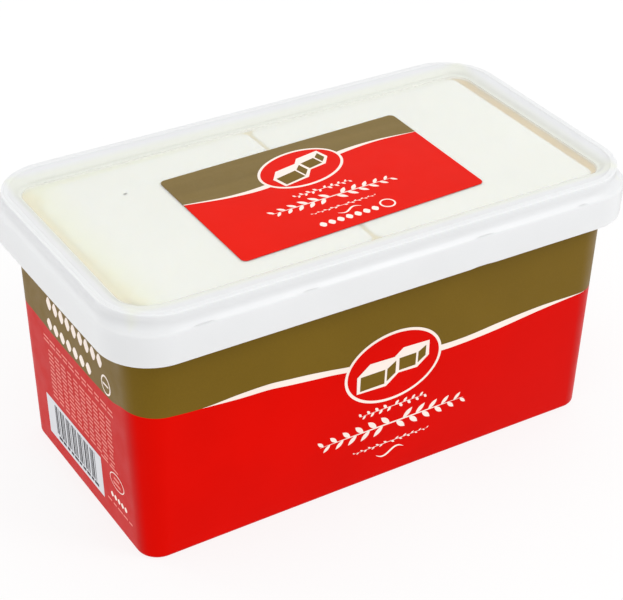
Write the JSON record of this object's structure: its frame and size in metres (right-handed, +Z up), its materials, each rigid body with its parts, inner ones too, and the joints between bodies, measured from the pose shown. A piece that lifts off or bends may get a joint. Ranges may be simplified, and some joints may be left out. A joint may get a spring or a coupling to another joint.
{
  "type": "lidded tub of white cheese blocks",
  "caption": "Closed rectangular plastic tub with a milky snap lid and a clear panel, holding square-cut blocks of white cheese side by side.",
  "frame": {"origin": "middle of the tub's flat base, on the surface it stands on", "axes": "+Z up, +X along the long side towards the right end, the front face looks towards -Y"},
  "size_m": [0.175, 0.096, 0.0875],
  "materials": {
    "printed_tub": "satin printed polypropylene, red field under an olive-gold band",
    "milky_lid": "smooth milky translucent polypropylene",
    "label": "semi-gloss printed film label, red and olive gold",
    "cheese": "moist, fine-grained white brined cheese"
  },
  "bodies": {
    "root": {"tub": "printed_tub", "lid": "milky_lid", "lid_label": "label", "cheese_block_left": "cheese", "cheese_block_right": "cheese"}
  },
  "joints": []
}
